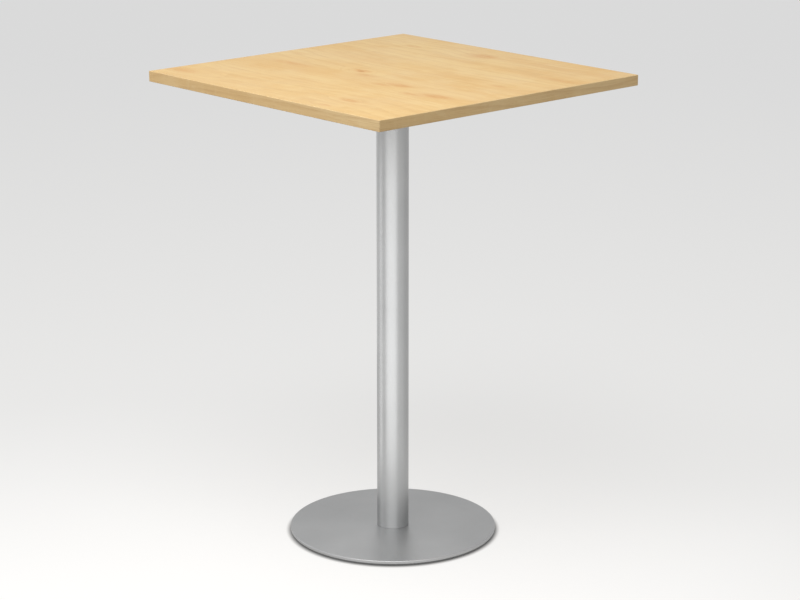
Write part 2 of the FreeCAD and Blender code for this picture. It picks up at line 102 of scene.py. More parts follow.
# Sockets of the mix node that mix colours. Others have the same names, so they go by number.
MIX_SHARE, MIX_FIRST, MIX_SECOND = 0, 6, 7
MIX_RESULT = 2


class Nodes:
    """A node tree under construction."""

    def __init__(self, tree):
        self.tree = tree

    def feed(self, socket, value):
        """Links a socket to another one, or sets it to a constant."""
        if isinstance(value, bpy.types.NodeSocket):
            self.tree.links.new(value, socket)
        else:
            socket.default_value = value

    def node(self, kind, sockets=None, **settings):
        """A node with its settings made and its sockets fed."""
        made = self.tree.nodes.new(kind)
        for name, value in settings.items():
            setattr(made, name, value)
        for name, value in (sockets or {}).items():
            self.feed(made.inputs[name], value)
        return made

    def math(self, operation, first, second=0.0):
        """One step of arithmetic."""
        return self.node("ShaderNodeMath", {0: first, 1: second}, operation=operation).outputs[0]

    def vector(self, operation, first, second=(0, 0, 0), third=(0, 0, 0)):
        """One step of vector arithmetic."""
        sockets = {0: first, 1: second, 2: third}
        made = self.node("ShaderNodeVectorMath", sockets, operation=operation)
        return made.outputs["Value" if operation == "LENGTH" else "Vector"]

    def parts(self, vector):
        """The three parts of a vector."""
        return self.node("ShaderNodeSeparateXYZ", {0: vector}).outputs

    def joined(self, x, y, z):
        """A vector made of three parts."""
        return self.node("ShaderNodeCombineXYZ", {0: x, 1: y, 2: z}).outputs[0]

    def span(self, value, low, high, to_low=0.0, to_high=1.0):
        """Maps a range of values smoothly to another one, and holds it at its ends."""
        sockets = {
            "Value": value,
            "From Min": low,
            "From Max": high,
            "To Min": to_low,
            "To Max": to_high,
        }
        made = self.node("ShaderNodeMapRange", sockets, interpolation_type="SMOOTHSTEP")
        return made.outputs[0]

    def spread(self, noise, to_low=0.0, to_high=1.0):
        """Maps the usual values of a noise to a range."""
        return self.span(noise, NOISE_LOW, NOISE_HIGH, to_low, to_high)

    def blend(self, share, first, second, how="MIX"):
        """A mix of two colours."""
        made = self.node("ShaderNodeMix", data_type="RGBA", blend_type=how)
        for index, value in ((MIX_SHARE, share), (MIX_FIRST, first), (MIX_SECOND, second)):
            self.feed(made.inputs[index], value)
        return made.outputs[MIX_RESULT]

    def tint(self, colour, other, value, start, full, strength=1.0):
        """Turns a colour into another, up to a strength, as a value goes from start to full."""
        return self.blend(self.span(value, start, full, 0.0, strength), colour, other)


class Shader(Nodes):
    """A material and the nodes that feed its surface."""

    def __init__(self, name):
        self.material = bpy.data.materials.new(name)
        self.material.use_nodes = True
        super().__init__(self.material.node_tree)
        self.surface = self.tree.nodes["Principled BSDF"]
        self.place = self.node("ShaderNodeTexCoord").outputs["Object"]

    def scaled(self, place, per_metre):
        """A place for a texture with so many features per metre, alike or along each axis."""
        if not isinstance(per_metre, tuple):
            per_metre = (per_metre, per_metre, per_metre)
        return self.vector("MULTIPLY", place, per_metre)

    def noise(self, place, per_metre, detail=2.0, roughness=0.5, distortion=0.0):
        """Soft noise from 0 to 1."""
        sockets = {
            "Vector": self.scaled(place, per_metre),
            "Scale": 1.0,
            "Detail": detail,
            "Roughness": roughness,
            "Distortion": distortion,
        }
        return self.node("ShaderNodeTexNoise", sockets).outputs[0]

    def cells(self, place, per_metre, output="Distance"):
        """Cells of random size."""
        sockets = {"Vector": self.scaled(place, per_metre), "Scale": 1.0}
        return self.node("ShaderNodeTexVoronoi", sockets).outputs[output]

    def bump(self, height, distance, normal=None):
        """A normal bent by a height, whose full step is the distance in metres."""
        sockets = {"Height": height, "Distance": distance, "Strength": 1.0}
        if normal is not None:
            sockets["Normal"] = normal
        return self.node("ShaderNodeBump", sockets).outputs[0]

    def finish(self, **sockets):
        """Feeds the surface's sockets and returns the material."""
        for name, value in sockets.items():
            self.feed(self.surface.inputs[name.replace("_", " ")], value)
        return self.material


# Wood

MAPLE_PALE = rgb(246, 213, 150)
MAPLE_WARM = rgb(235, 191, 120)
MAPLE_STREAK = rgb(220, 176, 109)
MAPLE_FLECK = rgb(224, 170, 98)
MAPLE_KNOT = rgb(214, 146, 66)
MAPLE_CORE = rgb(186, 116, 52)
EDGE_PALE = rgb(243, 213, 160)
EDGE_WARM = rgb(231, 194, 136)
EDGE_STREAK = rgb(207, 167, 114)

# Knots and flakes of the top's print:
# along the grain, across it, half length, half width, strength
KNOTS = (
    (-0.064, -0.040, 0.036, 0.0210, 0.75),
    (-0.020, -0.066, 0.060, 0.0240, 0.40),
    (0.128, -0.096, 0.056, 0.0220, 0.55),
    (0.095, -0.118, 0.040, 0.0140, 0.40),
    (0.288, -0.128, 0.064, 0.0220, 0.60),
    (0.225, -0.150, 0.050, 0.0120, 0.40),
    (0.192, -0.296, 0.034, 0.0150, 0.50),
    (0.192, -0.372, 0.030, 0.0120, 0.50),
    (-0.016, 0.312, 0.060, 0.0320, 0.55),
    (-0.240, 0.288, 0.030, 0.0130, 0.40),
    (-0.352, -0.336, 0.080, 0.0280, 0.45),
    (-0.255, -0.090, 0.110, 0.0200, 0.40),
    (0.330, 0.210, 0.080, 0.0200, 0.35),
    (0.285, 0.060, 0.040, 0.0150, 0.40),
)
# Reaches count from a knot's middle, with its edge at 1
KNOT_PUSH_REACH = 2.6
KNOT_PUSH = 0.35
KNOT_RISE = 2.6
KNOT_RAGGED = 1.3
KNOT_FIBROUS = 0.9
KNOT_STAIN_FULL = 0.1
KNOT_STAIN_END = 1.1
KNOT_CORE_STRENGTH = 0.7
KNOT_CORE_FULL = 0.05
KNOT_CORE_END = 0.35
KNOT_CORE_SHARE = 0.5

HEART_MIDDLE = -0.100
HEART_HALF_WIDTH = 0.075
HEART_FULL_SHARE = 0.2
HEART_STRENGTH = 0.5

GRAIN_SWAY = 0.035
RINGS_PER_METRE = 34.0
RINGS_PER_FLAME = 15.0
RING_WAVER = 0.5
RING_LINE_START = 0.60
RING_LINE_FULL = 0.98
RING_STRENGTH = 0.30

GLUE_LINE = rgb(150, 112, 66)
GLUE_LINE_START = 0.0005
GLUE_LINE_FULL = 0.0001
GLUE_LINE_STRENGTH = 0.5
ARRIS_START = 0.0014
ARRIS_FULL = 0.0004
ARRIS_STRENGTH = 0.35

DECOR_ROUGHNESS = (0.34, 0.42)
EDGE_ROUGHNESS = (0.36, 0.46)
FIBRE_ROUGHNESS = 0.06
FIBRE_DEPTH = 0.00004
PORE_DEPTH = 0.00001
WOOD_SPECULAR = 0.25


def grain_place(shader, along, across, through):
    """The place in the wood: along the grain, across it and through the sheet."""
    axes = dict(zip("xyz", shader.parts(shader.place)))
    return shader.joined(axes[along], axes[across], axes[through])


class Knots:
    """The knots of the top's print, which stain it and push its grain aside."""

    def __init__(self, shader, place):
        self.shader = shader
        self.reaches = []
        self.rise = 0.0
        self.threads = shader.noise(place, (34.0, 420.0, 420.0), detail=4.0, roughness=0.7)
        along, across, through = shader.parts(place)
        for knot_along, knot_across, half_length, half_width, strength in KNOTS:
            stretch = (1 / half_length, 1 / half_width, 0.0)
            shift = (-knot_along / half_length, -knot_across / half_width, 0.0)
            offset = shader.vector("MULTIPLY_ADD", place, stretch, shift)
            reach = shader.vector("LENGTH", offset)
            push = shader.span(reach, 0.0, KNOT_PUSH_REACH, half_width * KNOT_PUSH, 0.0)
            push = shader.math("MULTIPLY", push, shader.parts(offset)[1])
            across = shader.math("SUBTRACT", across, push)
            rise = shader.span(reach, 0.0, KNOT_PUSH_REACH, KNOT_RISE * strength, 0.0)
            self.rise = shader.math("ADD", self.rise, rise)
            self.reaches.append(reach)
        self.place = shader.joined(along, across, through)

    def stain(self, grain):
        """How far each place is stained, with fibrous edges."""
        shader = self.shader
        ragged = shader.math("SUBTRACT", grain.figure, NOISE_MIDDLE)
        ragged = shader.math("MULTIPLY", ragged, KNOT_RAGGED)
        fibrous = shader.math("SUBTRACT", grain.fibre, NOISE_MIDDLE)
        fibrous = shader.math("MULTIPLY", fibrous, KNOT_FIBROUS)
        ragged = shader.math("ADD", ragged, fibrous)
        stain = 0.0
        for reach, (*_, strength) in zip(self.reaches, KNOTS):
            edge = shader.math("ADD", reach, ragged)
            one = shader.span(edge, KNOT_STAIN_FULL, KNOT_STAIN_END, strength, 0.0)
            stain = shader.math("MAXIMUM", stain, one)
        threads = shader.span(self.threads, low=0.36, high=0.60, to_low=0.35, to_high=1.25)
        return shader.math("MULTIPLY", stain, threads)

    def core(self):
        """How far each place is in the dark middle of the strong knots."""
        shader = self.shader
        core = 0.0
        for reach, (*_, strength) in zip(self.reaches, KNOTS):
            if strength >= KNOT_CORE_STRENGTH:
                share = KNOT_CORE_SHARE * strength
                one = shader.span(reach, KNOT_CORE_FULL, KNOT_CORE_END, share, 0.0)
                core = shader.math("MAXIMUM", core, one)
        return core


class Grain:
    """The noises that one wood print is made of, for a place in the wood."""

    def __init__(self, shader, place, rise=0.0):
        self.shader = shader
        wander = shader.noise(place, (1.3, 4.0, 4.0))
        sway = shader.math("MULTIPLY", shader.math("SUBTRACT", wander, NOISE_MIDDLE), GRAIN_SWAY)
        along, across, through = shader.parts(place)
        self.place = shader.joined(along, shader.math("ADD", across, sway), through)
        self.drift = self.noise(1.1, 8.0, 8.0, detail=3.0, roughness=0.55)
        self.figure = self.noise(2.6, 46.0, 46.0, detail=3.0, roughness=0.6, distortion=0.4)
        self.fibre = self.noise(14.0, 520.0, 520.0, detail=4.0, roughness=0.65)
        self.cloud = self.noise(9.0, 14.0, 14.0)
        self.mottle = self.noise(13.0, 36.0, 36.0, detail=4.0, roughness=0.6, distortion=0.8)
        self.curl = self.noise(55.0, 9.0, 9.0, detail=3.0)
        flecks = shader.cells(self.place, (70.0, 640.0, 640.0))
        self.fleck = shader.span(flecks, low=0.05, high=0.22, to_low=0.4, to_high=0.0)
        self.growth = self.growth_lines(rise)

    def noise(self, *per_metre, **settings):
        """Soft noise with so many features per metre along the grain, across it and through."""
        return self.shader.noise(self.place, per_metre, **settings)

    def growth_lines(self, rise):
        """Thin growth lines that close into long flames, and round knots where the rise is."""
        shader = self.shader
        flame = self.noise(0.75, 2.6, 2.6, detail=1.0)
        across = shader.math("MULTIPLY", shader.parts(self.place)[1], RINGS_PER_METRE)
        ring = shader.math("ADD", across, shader.math("MULTIPLY", flame, RINGS_PER_FLAME))
        ring = shader.math("ADD", ring, shader.math("MULTIPLY", self.figure, RING_WAVER))
        ring = shader.math("ADD", ring, rise)
        return shader.span(shader.math("FRACT", ring), RING_LINE_START, RING_LINE_FULL)


def print_colour(shader, grain, pale, warm, streak):
    """Colour of a wood print: pale and warm zones, streaks, growth lines, fibres and flecks."""
    colour = shader.tint(pale, warm, grain.drift, start=0.30, full=0.70)
    colour = shader.tint(colour, warm, grain.mottle, start=0.48, full=0.72, strength=0.6)
    colour = shader.tint(colour, pale, grain.mottle, start=0.46, full=0.30, strength=0.5)
    colour = shader.tint(colour, streak, grain.figure, start=0.50, full=0.80, strength=0.28)
    colour = shader.blend(shader.math("MULTIPLY", grain.growth, RING_STRENGTH), colour, streak)
    colour = shader.tint(colour, streak, grain.fibre, start=0.44, full=0.76, strength=0.6)
    colour = shader.blend(grain.fleck, colour, MAPLE_FLECK)
    colour = shader.tint(colour, pale, grain.cloud, start=0.45, full=0.75, strength=0.4)
    return shader.tint(colour, pale, grain.curl, start=0.5, full=0.8, strength=0.3)


def heart_share(shader, grain):
    """How far each place is in the warmer heartwood band of the top's print."""
    offset = shader.math("SUBTRACT", shader.parts(grain.place)[1], HEART_MIDDLE)
    full = HEART_FULL_SHARE * HEART_HALF_WIDTH
    distance = shader.math("ABSOLUTE", offset)
    share = shader.span(distance, full, HEART_HALF_WIDTH, HEART_STRENGTH, 0.0)
    drift = shader.span(grain.drift, low=0.25, high=0.65, to_low=0.35, to_high=1.0)
    return shader.math("MULTIPLY", share, drift)


def wood_surface(shader, grain, colour, roughness_range):
    """Satin surface of a wood print, with its embossed fibres."""
    smear = shader.noise(shader.place, 7.0, detail=3.0)
    roughness = shader.spread(smear, *roughness_range)
    fibrous = shader.math("MULTIPLY", grain.fibre, FIBRE_ROUGHNESS)
    roughness = shader.math("ADD", roughness, fibrous)
    normal = shader.bump(grain.fibre, FIBRE_DEPTH)
    normal = shader.bump(shader.noise(shader.place, 1500.0), PORE_DEPTH, normal)
    return shader.finish(
        Base_Color=colour,
        Roughness=roughness,
        Normal=normal,
        Specular_IOR_Level=WOOD_SPECULAR,
    )


def maple_decor(name, has_knots):
    """Maple print on a melamine sheet, with a hairline of glue at the edge bands."""
    shader = Shader(name)
    place = grain_place(shader, "x", "y", "z")
    rise = 0.0
    if has_knots:
        knots = Knots(shader, place)
        place, rise = knots.place, knots.rise
    grain = Grain(shader, place, rise)
    colour = print_colour(shader, grain, MAPLE_PALE, MAPLE_WARM, MAPLE_STREAK)
    if has_knots:
        colour = shader.blend(heart_share(shader, grain), colour, MAPLE_WARM)
        colour = shader.blend(knots.stain(grain), colour, MAPLE_KNOT)
        colour = shader.blend(knots.core(), colour, MAPLE_CORE)
    x, y, _ = shader.parts(shader.place)
    edge = shader.math("MAXIMUM", shader.math("ABSOLUTE", x), shader.math("ABSOLUTE", y))
    start, full = DECOR_HALF - GLUE_LINE_START, DECOR_HALF - GLUE_LINE_FULL
    colour = shader.tint(colour, GLUE_LINE, edge, start, full, GLUE_LINE_STRENGTH)
    return wood_surface(shader, grain, colour, DECOR_ROUGHNESS)


def maple_edge(name, along, through):
    """Maple print on a plastic edge band, a little darker than the top."""
    shader = Shader(name)
    grain = Grain(shader, grain_place(shader, along, "z", through))
    colour = print_colour(shader, grain, EDGE_PALE, EDGE_WARM, EDGE_STREAK)
    height = shader.parts(shader.place)[2]
    middle = (BOARD_TOP + BOARD_UNDERSIDE) / 2
    half = (BOARD_TOP - BOARD_UNDERSIDE) / 2
    offset = shader.math("ABSOLUTE", shader.math("SUBTRACT", height, middle))
    arris = shader.span(offset, half - ARRIS_START, half - ARRIS_FULL, 0.0, ARRIS_STRENGTH)
    patches = shader.noise(shader.place, 30.0, detail=3.0)
    patchy = shader.span(patches, low=0.35, high=0.65)
    colour = shader.blend(shader.math("MULTIPLY", arris, patchy), colour, EDGE_PALE)
    return wood_surface(shader, grain, colour, EDGE_ROUGHNESS)


CHIP_DARK = rgb(176, 138, 92)
CHIP_PALE = rgb(214, 180, 132)
CHIP_BARK = rgb(132, 96, 60)
CHIP_WARP = (0.004, 0.004, 0.004)
CHIP_DEPTH = 0.0003
CHIP_DUST_DEPTH = 0.0001
CHIP_ROUGHNESS = (0.75, 0.95)


def chipboard():
    """Raw board of pressed wood chips."""
    shader = Shader("chipboard")
    warp = shader.noise(shader.place, 60.0)
    shift = shader.vector("MULTIPLY", shader.joined(warp, warp, warp), CHIP_WARP)
    place = shader.vector("ADD", shader.place, shift)
    chips = shader.cells(place, (220.0, 160.0, 420.0), "Color")
    tone = shader.parts(chips)[0]
    colour = shader.blend(tone, CHIP_DARK, CHIP_PALE)
    fine = shader.noise(shader.place, 900.0, detail=3.0)
    colour = shader.tint(colour, CHIP_BARK, fine, start=0.55, full=0.75, strength=0.5)
    normal = shader.bump(tone, CHIP_DEPTH)
    normal = shader.bump(fine, CHIP_DUST_DEPTH, normal)
    roughness = shader.spread(fine, *CHIP_ROUGHNESS)
    return shader.finish(Base_Color=colour, Roughness=roughness, Normal=normal)


# Metal

SILVER_DARK = (0.405, 0.410, 0.412, 1.0)
SILVER_PALE = (0.455, 0.460, 0.462, 1.0)
SILVER_FLAKE = (0.62, 0.625, 0.63, 1.0)
SILVER_ROUGHNESS = (0.33, 0.38)
SILVER_METALLIC = 0.9
FLAKE_ROUGHNESS = 0.05
FLAKE_DEPTH = 0.00001
PEEL_DEPTH = 0.00002
SCUFF_COLOUR = grey(0.20)
SCUFF_STRENGTH = 0.12
SCUFF_ROUGHNESS = 0.06
# Heights from the base plate's top between which scuffs come and go
SCUFF_START, SCUFF_FULL = -0.009, -0.001
SCUFF_FADE, SCUFF_END = 0.001, 0.030


def silver_coat():
    """Metallic powder coat: fine flakes, orange peel, and faint scuffs on the base plate."""
    shader = Shader("silver_coat")
    mottle = shader.noise(shader.place, 5.0, detail=3.0)
    colour = shader.blend(shader.spread(mottle), SILVER_DARK, SILVER_PALE)
    flakes = shader.parts(shader.cells(shader.place, 2600.0, "Color"))
    colour = shader.tint(colour, SILVER_FLAKE, flakes[0], start=0.55, full=1.0, strength=0.28)
    marks = shader.noise(
        shader.place, (16.0, 60.0, 16.0), detail=5.0, roughness=0.7, distortion=1.5
    )
    level = shader.parts(shader.place)[2]
    underfoot = shader.span(level, BASE_TOP + SCUFF_START, BASE_TOP + SCUFF_FULL)
    above = shader.span(level, BASE_TOP + SCUFF_FADE, BASE_TOP + SCUFF_END, 1.0, 0.0)
    reach = shader.math("MULTIPLY", underfoot, above)
    scuff = shader.math("MULTIPLY", shader.span(marks, low=0.60, high=0.74), reach)
    colour = shader.blend(shader.math("MULTIPLY", scuff, SCUFF_STRENGTH), colour, SCUFF_COLOUR)
    roughness = shader.spread(mottle, *SILVER_ROUGHNESS)
    for value, share in ((flakes[1], FLAKE_ROUGHNESS), (scuff, SCUFF_ROUGHNESS)):
        roughness = shader.math("ADD", roughness, shader.math("MULTIPLY", value, share))
    peel = shader.noise(shader.place, 300.0)
    normal = shader.bump(peel, PEEL_DEPTH)
    normal = shader.bump(flakes[2], FLAKE_DEPTH, normal)
    return shader.finish(
        Base_Color=colour,
        Roughness=roughness,
        Normal=normal,
        Metallic=SILVER_METALLIC,
    )


STEEL_DARK = (0.34, 0.34, 0.35, 1.0)
STEEL_PALE = grey(0.46)
STEEL_HEATED = (0.30, 0.22, 0.15, 1.0)
STEEL_HEAT_START = 0.030
STEEL_HEAT_FULL = 0.0355
STEEL_HEAT_STRENGTH = 0.45
STEEL_ROUGHNESS = (0.32, 0.50)
STEEL_RING_DEPTH = 0.00002
STEEL_SCALE_DEPTH = 0.00006


def bare_steel():
    """Raw turned steel with a grey scale and brown heat tint near the welds."""
    shader = Shader("bare_steel")
    x, y, z = shader.parts(shader.place)
    radius = shader.vector("LENGTH", shader.joined(x, y, 0.0))
    rings = shader.noise(shader.joined(radius, 0.0, z), (4200.0, 1.0, 900.0), detail=3.0)
    blotch = shader.noise(shader.place, 90.0, detail=4.0)
    colour = shader.blend(shader.spread(blotch), STEEL_DARK, STEEL_PALE)
    colour = shader.tint(
        colour, STEEL_HEATED, radius, STEEL_HEAT_START, STEEL_HEAT_FULL, STEEL_HEAT_STRENGTH
    )
    roughness = shader.spread(rings, *STEEL_ROUGHNESS)
    normal = shader.bump(rings, STEEL_RING_DEPTH)
    normal = shader.bump(blotch, STEEL_SCALE_DEPTH, normal)
    return shader.finish(Base_Color=colour, Roughness=roughness, Normal=normal, Metallic=1.0)


ZINC_BLUISH = (0.54, 0.56, 0.60, 1.0)
ZINC_STRAW = (0.64, 0.63, 0.58, 1.0)
ZINC_MARKED = grey(0.34)
ZINC_ROUGHNESS = (0.24, 0.38)
ZINC_DEPTH = 0.00001


def zinc_steel():
    """Bright zinc plate: bluish and straw patches, fine grain and handling marks."""
    shader = Shader("zinc_steel")
    patch = shader.noise(shader.place, 160.0, detail=3.0)
    colour = shader.blend(shader.spread(patch), ZINC_BLUISH, ZINC_STRAW)
    grain = shader.noise(shader.place, 2600.0, detail=3.0)
    mark = shader.noise(shader.place, (240.0, 1800.0, 900.0), detail=4.0, roughness=0.7)
    colour = shader.tint(colour, ZINC_MARKED, mark, start=0.62, full=0.75, strength=0.4)
    roughness = shader.spread(grain, *ZINC_ROUGHNESS)
    normal = shader.bump(grain, ZINC_DEPTH)
    return shader.finish(Base_Color=colour, Roughness=roughness, Normal=normal, Metallic=1.0)


BRASS_BRIGHT = (0.62, 0.47, 0.20, 1.0)
BRASS_TARNISHED = (0.42, 0.29, 0.12, 1.0)
BRASS_ROUGHNESS = (0.26, 0.42)
BRASS_DEPTH = 0.00002


def insert_alloy():
    """Turned brass with fine tool rings and a dull tarnish."""
    shader = Shader("insert_alloy")
    tarnish = shader.noise(shader.place, 260.0, detail=4.0)
    colour = shader.tint(BRASS_BRIGHT, BRASS_TARNISHED, tarnish, start=0.35, full=0.7)
    rings = shader.noise(shader.place, (60.0, 60.0, 5200.0))
    roughness = shader.spread(tarnish, *BRASS_ROUGHNESS)
    normal = shader.bump(rings, BRASS_DEPTH)
    return shader.finish(Base_Color=colour, Roughness=roughness, Normal=normal, Metallic=1.0)


# Plastic and rubber

PLASTIC_BLACK = (0.022, 0.022, 0.024, 1.0)
PLASTIC_DUSTY = (0.10, 0.097, 0.09, 1.0)
PLASTIC_ROUGHNESS = (0.48, 0.66)
PLASTIC_DEPTH = 0.00004
RUBBER_DARK = (0.040, 0.039, 0.038, 1.0)
RUBBER_WORN = (0.11, 0.105, 0.10, 1.0)
RUBBER_ROUGHNESS = (0.72, 0.9)
RUBBER_DEPTH = 0.00005


def pad_plastic():
    """Moulded black polyamide with a fine spark-eroded texture and dust."""
    shader = Shader("pad_plastic")
    pits = shader.noise(shader.place, 2200.0, detail=3.0)
    dust = shader.noise(shader.place, 120.0, detail=5.0, roughness=0.65)
    colour = shader.tint(PLASTIC_BLACK, PLASTIC_DUSTY, dust, start=0.5, full=0.8, strength=0.35)
    roughness = shader.spread(pits, *PLASTIC_ROUGHNESS)
    normal = shader.bump(pits, PLASTIC_DEPTH)
    return shader.finish(Base_Color=colour, Roughness=roughness, Normal=normal)


def sole_rubber():
    """Soft dark rubber, dull, with worn paler patches."""
    shader = Shader("sole_rubber")
    wear = shader.noise(shader.place, 200.0, detail=4.0, roughness=0.6)
    colour = shader.tint(RUBBER_DARK, RUBBER_WORN, wear, start=0.45, full=0.75, strength=0.6)
    grit = shader.noise(shader.place, 3200.0)
    roughness = shader.spread(wear, *RUBBER_ROUGHNESS)
    normal = shader.bump(grit, RUBBER_DEPTH)
    return shader.finish(Base_Color=colour, Roughness=roughness, Normal=normal)


# Finer pieces

FULL_TURN = 2 * math.pi
ROUND_SEGMENTS = 192
SMALL_SEGMENTS = 36
LEVELLER_COUNT = 4
LEVELLERS = range(1, LEVELLER_COUNT + 1)


def turns_of(segments):
    """Evenly spaced angles of a full turn, without its end."""
    return [FULL_TURN * step / segments for step in range(segments)]


def quarter_turns(steps):
    """Evenly spaced angles of a quarter turn, with its end."""
    return [math.pi / 2 * step / steps for step in range(steps + 1)]


def point_at(centre, radius, turn, height):
    """A point at a radius and an angle from an upright axis."""
    return (centre[0] + radius * math.cos(turn), centre[1] + radius * math.sin(turn), height)


def circle(radius, height, segments, centre=(0.0, 0.0)):
    """Points of a level circle, anticlockwise seen from above."""
    return [point_at(centre, radius, turn, height) for turn in turns_of(segments)]


def circles(profile, segments, centre=(0.0, 0.0)):
    """Level circles of the radii and heights of a profile."""
    return [circle(radius, height, segments, centre) for radius, height in profile]


def rounded_side(radius, low, high, rounding, steps):
    """Radius and height up an upright round side, with both edges rounded."""
    inner = radius - rounding
    turns = quarter_turns(steps)
    lower = [
        (inner + rounding * math.sin(t), low + rounding * (1 - math.cos(t))) for t in turns
    ]
    upper = [
        (inner + rounding * math.cos(t), high - rounding * (1 - math.sin(t))) for t in turns
    ]
    return lower + upper


def add_band(shape, lower, upper):
    """Adds faces between two rows of points."""
    for step in range(len(lower)):
        after = (step + 1) % len(lower)
        shape.faces.new((lower[step], lower[after], upper[after], upper[step]))


def add_rings(shape, rings):
    """Adds rings of equally many points to a mesh, with faces from each to the next."""
    rows = [[shape.verts.new(point) for point in ring] for ring in rings]
    for lower, upper in zip(rows, rows[1:]):
        add_band(shape, lower, upper)
    return rows


def add_closed_rings(shape, rings):
    """Adds rings as above, with a face over each end."""
    rows = add_rings(shape, rings)
    shape.faces.new(rows[0])
    shape.faces.new(rows[-1])


def add_tube_rings(shape, rings):
    """Adds rings as above, with faces from the last back to the first."""
    rows = add_rings(shape, rings)
    add_band(shape, rows[-1], rows[0])


def make_piece(name, shape, sharp_degrees):
    """Makes an object of a mesh: smooth, but for edges sharper than an angle and flat faces."""
    bmesh.ops.recalc_face_normals(shape, faces=shape.faces)
    mesh = bpy.data.meshes.new(name)
    shape.to_mesh(mesh)
    shape.free()
    piece = bpy.data.objects.new(name, mesh)
    bpy.context.scene.collection.objects.link(piece)
    for face in mesh.polygons:
        face.use_smooth = True
    mesh.set_sharp_from_angle(angle=math.radians(sharp_degrees))
    weighted = piece.modifiers.new("flat_faces", "WEIGHTED_NORMAL")
    weighted.keep_sharp = True
    return piece


# Column

COLUMN_WALL = 0.002
COLUMN_ARRIS = 0.0005
COLUMN_ARRIS_STEPS = 4
COLUMN_SHARP_DEGREES = 40


def make_column():
    """The column's tube, rounder than its CAD mesh, with rounded ends outside."""
    inner = COLUMN_RADIUS - COLUMN_WALL
    outside = rounded_side(
        COLUMN_RADIUS, COLUMN_FOOT, COLUMN_HEAD, COLUMN_ARRIS, COLUMN_ARRIS_STEPS
    )
    profile = [(inner, COLUMN_FOOT)] + outside + [(inner, COLUMN_HEAD)]
    shape = bmesh.new()
    add_tube_rings(shape, circles(profile, ROUND_SEGMENTS))
    return make_piece("column_shell", shape, COLUMN_SHARP_DEGREES)


# Base plate, with the holes for its screws and studs

BASE_EDGE = 0.0015
BASE_EDGE_STEPS = 6
BASE_SHARP_DEGREES = 30
SEAT_RADIUS = 0.0101
SEAT_RIM = 0.0006
BORE_RADIUS = 0.0055
STUD_HOLE_RADIUS = 0.00408
STUD_HOLE_DEPTH = 0.0065
CROSS_RADIUS = 0.02295
CROSS_SCREWS = 4
CROSS_PLACES = circle(CROSS_RADIUS, 0.0, CROSS_SCREWS)


def loop_edges(shape, row):
    """The edges that join a closed row of points, in the row's order."""
    return [shape.edges.get(pair) for pair in zip(row, row[1:] + row[:1])]


def make_base(stud_places):
    """The base plate, rounder than its CAD mesh."""
    shape = bmesh.new()
    side = rounded_side(BASE_RADIUS, BASE_UNDERSIDE, BASE_TOP, BASE_EDGE, BASE_EDGE_STEPS)
    rim = add_rings(shape, circles(side, ROUND_SEGMENTS))
    underside, top = [rim[0]], [rim[-1]]
    cone_top = BASE_UNDERSIDE + SEAT_RIM + SEAT_RADIUS - BORE_RADIUS
    seat = [
        (SEAT_RADIUS, BASE_UNDERSIDE),
        (SEAT_RADIUS, BASE_UNDERSIDE + SEAT_RIM),
        (BORE_RADIUS, cone_top),
        (BORE_RADIUS, BASE_TOP),
    ]
    for place in CROSS_PLACES:
        rows = add_rings(shape, circles(seat, SMALL_SEGMENTS, place))
        underside.append(rows[0])
        top.append(rows[-1])
    stud_hole = [
        (STUD_HOLE_RADIUS, BASE_UNDERSIDE),
        (STUD_HOLE_RADIUS, BASE_UNDERSIDE + STUD_HOLE_DEPTH),
    ]
    for place in stud_places:
        rows = add_rings(shape, circles(stud_hole, SMALL_SEGMENTS, place))
        shape.faces.new(rows[1])
        underside.append(rows[0])
    for loops in (underside, top):
        edges = [edge for row in loops for edge in loop_edges(shape, row)]
        bmesh.ops.triangle_fill(shape, edges=edges, use_beauty=True)
    return make_piece("base_disc", shape, BASE_SHARP_DEGREES)


# Threaded pieces, whose threads stay inside the plain shanks of the CAD model

THREAD_ROWS_PER_TURN = 8
THREAD_DEPTH_SHARE = 0.54
# A groove deepens with the pitches from the crest's middle, and its crest and root are flat
THREAD_CREST_PHASE = 0.5
THREAD_FLANK_SLOPE = 2.4
THREAD_CREST_DROP = 0.1
THREAD_SHARP_DEGREES = 35
HEXAGON_SIDE_TURN = math.pi / 3
SOCKET_FLOOR_SHARE = 0.2
BUTTON_STEPS = 6


def hexagon(across_flats, height, centre):
    """Points of a level hexagon, as many as a small circle's and in the same order."""
    points = []
    for turn in turns_of(SMALL_SEGMENTS):
        from_flat = (turn % HEXAGON_SIDE_TURN) - HEXAGON_SIDE_TURN / 2
        radius = across_flats / 2 / math.cos(from_flat)
        points.append(point_at(centre, radius, turn, height))
    return points


def thread_rings(radius, pitch, depth, start, end, tip_chamfer, centre):
    """Level rings of a right-hand thread, from its run-out at the start to its end's chamfer."""
    length = abs(end - start)
    rows = round(length / pitch * THREAD_ROWS_PER_TURN)
    rings = []
    for row in range(1, rows + 1):
        done = length * row / rows
        height = start + (end - start) * row / rows
        largest = radius - max(0.0, tip_chamfer - (length - done))
        run_out = min(1.0, done / pitch)
        ring = []
        for turn in turns_of(SMALL_SEGMENTS):
            phase = (height / pitch - turn / FULL_TURN) % 1.0
            from_crest = abs(phase - THREAD_CREST_PHASE)
            groove = THREAD_FLANK_SLOPE * from_crest - THREAD_CREST_DROP
            groove = min(1.0, max(0.0, groove))
            reach = min(radius - depth * groove * run_out, largest)
            ring.append(point_at(centre, reach, turn, height))
        rings.append(ring)
    return rings


def countersunk_head(head_radius, rim, shank_radius):
    """Radius and distance from the face of a countersunk head."""
    cone_end = rim + head_radius - shank_radius
    return [(head_radius, 0.0), (head_radius, rim), (shank_radius, cone_end)]


